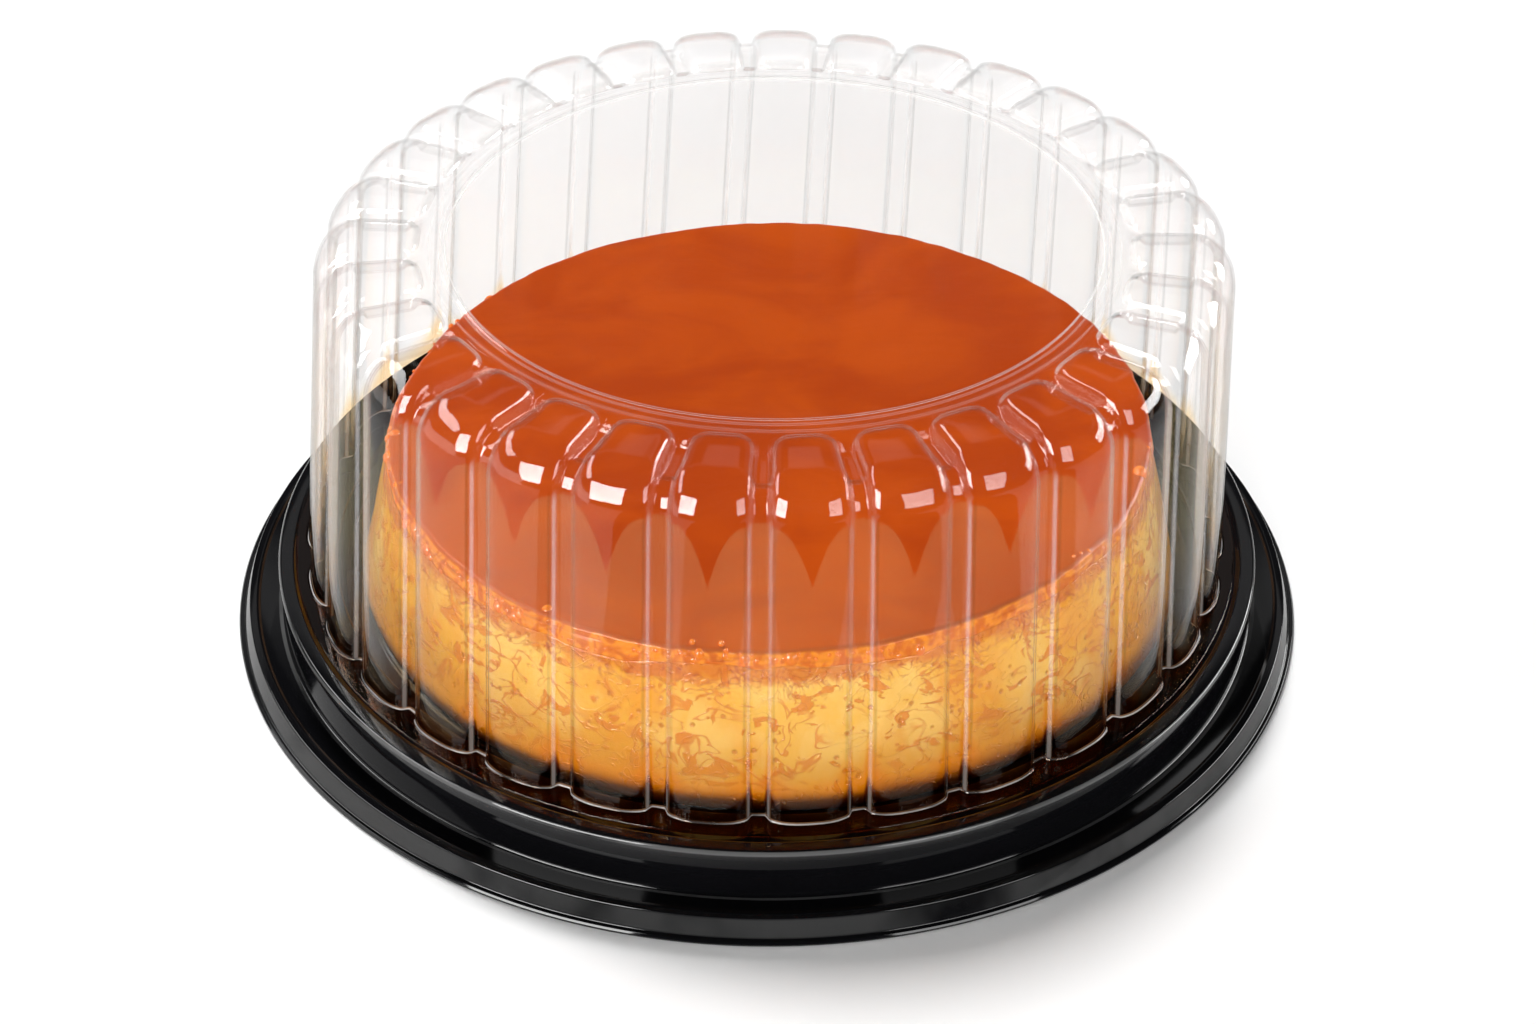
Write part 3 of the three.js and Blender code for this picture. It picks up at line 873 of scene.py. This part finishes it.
def lidMaterial():
    # a clear sheet, darker edge on, with painted shade lines and painted shade at the foot, whose mirror
    # share grows with the fifth power of facing away, under a thin matt layer of painted light: a pale veil
    # standing in for the floor's reflection, and painted highlight lines; the UV map holds flutes along U and
    # metres of height in V
    material, tree = newMaterial("clearPlastic")
    flutes = addNode(tree, "ShaderNodeUVMap", uv_map="flutes").outputs[0]
    place = addNode(tree, "ShaderNodeSeparateXYZ", {0: flutes})
    height = math2(tree, "MULTIPLY", place.outputs["Y"], 1000.0)
    pitch = fullTurn * lid["wallRadius"] / lid["flutes"]
    share = math2(tree, "SUBTRACT", math2(tree, "FRACT", place.outputs["X"]), 0.5)
    share = math2(tree, "ABSOLUTE", share)
    fromCrest = math2(tree, "MULTIPLY", share, pitch)
    fromGroove = math2(tree, "MULTIPLY", math2(tree, "SUBTRACT", 0.5, share), pitch)

    facing = addNode(tree, "ShaderNodeLayerWeight", {"Blend": 0.5}).outputs["Facing"]
    edgeOn = math2(tree, "POWER", facing, 5.0)
    edgeColour, edgeShare = lid["edgeOn"]
    dark = math2(tree, "MULTIPLY", edgeOn, edgeShare)
    # a painted shade line beside each groove, darkening what shows through
    dark = math2(tree, "MAXIMUM", dark, sideLine(tree, height, fromGroove, lid["shadeLine"]))
    tone = mixColour(tree, dark, (0.998, 0.998, 0.998, 1), edgeColour)
    crestHalf = 0.5 - lid["grooveHalf"] / mm / pitch
    across = math2(tree, "POWER", math2(tree, "DIVIDE", share, crestHalf), 4.0)
    across = product(tree, across, rampUp(tree, share, crestHalf + 0.02, crestHalf - 0.02))
    # painted shade: the flan's dark foot as the flutes bend it, tinted into the clear sheet
    for low, climb, softness, strength, colour in lid["paintedFootShade"]:
        above = math2(tree, "SUBTRACT", height, math2(tree, "MULTIPLY_ADD", across, climb, low))
        tone = mixColour(tree, product(tree, rampUp(tree, above, softness, 0.0), strength), tone, colour)
    clear = addNode(tree, "ShaderNodeBsdfTransparent", {"Color": tone})

    streak = noiseValue(tree, objectPoint(tree, (1, 1, 0.1)), 260.0, 2.0)
    bump = addNode(tree, "ShaderNodeBump", {"Height": streak, "Strength": 0.02, "Distance": 0.2 * mm})
    values = {"Color": (1, 1, 1, 1), "Roughness": 0.005, "Normal": bump.outputs[0]}
    gloss = addNode(tree, "ShaderNodeBsdfAnisotropic", values)
    mirror = math2(tree, "MULTIPLY_ADD", edgeOn, 0.6, 0.016)
    values = {0: mirror, 1: clear.outputs[0], 2: gloss.outputs[0]}
    sheet = addNode(tree, "ShaderNodeMixShader", values)

    # a painted highlight line along the foot, brighter in patches
    footHeight, outer, inner, strength = lid["paintedFootHighlight"]
    glint = rampUp(tree, noiseValue(tree, objectPoint(tree), 55.0, 2.0), 0.38, 0.6)
    glint = math2(tree, "MULTIPLY_ADD", glint, strength, 0.06)
    foot = product(tree, lineAt(tree, height, footHeight, outer, inner), glint)
    lines = math2(tree, "MAXIMUM", sideLine(tree, height, fromGroove, lid["paintedHighlightLine"]), foot)
    lines = math2(tree, "MAXIMUM", lines, paintedTopHighlights(tree, height))
    onLine = math2(tree, "GREATER_THAN", lines, 0.02)
    # painted light: a matt layer that shows the painted veil, and the painted highlight lines in pale
    paintedVeilAndLines = addNode(tree, "ShaderNodeBsdfDiffuse",
                   {"Color": mixColour(tree, onLine, lid["paintedVeilColour"], lid["paintedLineColour"])})
    amount = math2(tree, "MAXIMUM", paintedVeilFilm(tree, height, fromCrest), lines)
    values = {0: amount, 1: sheet.outputs[0], 2: paintedVeilAndLines.outputs[0]}
    finishTree(tree, addNode(tree, "ShaderNodeMixShader", values).outputs[0])
    return material


def lidSkin():
    # every station carries the flutes' arch along its normal: (radius, height) + out * (sin turn, cos turn),
    # where out is rise * arch - step * (1 - arch); at a flute's inner end its sides start later
    radius, height, turn, climb, step = (column[:, None] for column in lidMeridian().T)
    shares = fluteShares()
    pitch = fullTurn / lid["flutes"]
    steps = (np.arange(lid["flutes"])[:, None] + shares).ravel()
    upShare = (height - lid["flangeTop"]) / (lid["windowHeight"] - lid["flangeTop"])
    azimuth = -fullTurn / 4 + np.radians(lid["turn"] + lid["twist"] * upShare) + steps * pitch
    wallShare = np.clip(turn / (math.pi / 2) * 1.6, 0, 1).ravel()
    powers = lid["topPower"] + (lid["wallPower"] - lid["topPower"]) * wallShare ** 0.7
    arch = np.array([np.tile(fluteArch(shares, power), lid["flutes"]) for power in powers])
    out = lid["rise"] * climb * arch - lid["grooveStep"] * step * (1 - arch) * (turn == 0)
    start, centre = lid["fingerStart"], lid["shoulderCentre"][0]
    onTop = (radius >= start) & (turn == 0)
    late = np.where(onTop, np.clip((centre - radius) / (centre - start), 0, 1), 0)
    late = late * lid["fingerCorner"] * np.tile(fluteAcross(shares), lid["flutes"]) ** 4
    around = steps / lid["flutes"]
    ripple = 0.05 * mm * softNoise(around + 0 * radius, height / 0.11 + 0 * steps, 93, 6, 41)
    ringRadius = radius + late + (out + ripple * np.sin(turn)) * np.sin(turn)
    outer = ringPoints(ringRadius, height + out * np.cos(turn), azimuth)
    alongRow = np.roll(outer, -1, axis=1) - np.roll(outer, 1, axis=1)
    normal = np.cross(np.gradient(outer, axis=0), alongRow)
    normal /= np.linalg.norm(normal, axis=-1)[..., None]
    return outer, outer - lid["sheet"] * normal, steps


def buildLid():
    # the inner face is the outer one moved in by the sheet; then x grows by lean * (z - pivot)
    outer, inner, steps = lidSkin()
    rings = np.concatenate([outer, inner[::-1]])
    height = rings[..., 2].copy()
    rings[..., 0] += lid["lean"] * (height - lid["leanPivot"])
    topShift = lid["lean"] * (lid["windowHeight"] - lid["leanPivot"])
    top = (topShift, 0, lid["windowHeight"])
    under = (topShift, 0, lid["windowHeight"] - lid["sheet"])
    piece = skinMesh("clear_lid", rings, top, under)
    mesh = piece.data
    corners = np.empty(len(mesh.loops), dtype=np.int32)
    mesh.loops.foreach_get("vertex_index", corners)
    columns = len(steps)
    flute = np.concatenate([[0], np.tile(steps, len(rings)), [0]])[corners]
    rise = np.concatenate([[top[2]], height.ravel(), [under[2]]])[corners]
    starts = np.empty(len(mesh.polygons), dtype=np.int32)
    mesh.polygons.foreach_get("loop_start", starts)
    sizes = np.diff(np.append(starts, len(corners)))
    farthest = np.repeat(np.maximum.reduceat(flute, starts), sizes)
    flute = np.where(farthest - flute > lid["flutes"] / 2, flute + lid["flutes"], flute)
    uv = mesh.uv_layers.new(name="flutes")
    uv.data.foreach_set("uv", np.stack([flute, rise], axis=-1).ravel())
    putInPlace(piece, "clear_plastic", lidMaterial(), "dome_lid")
    piece.visible_shadow = False
    print("lid triangles:", 2 * rings.shape[0] * columns)


buildLid()
print("lid built")
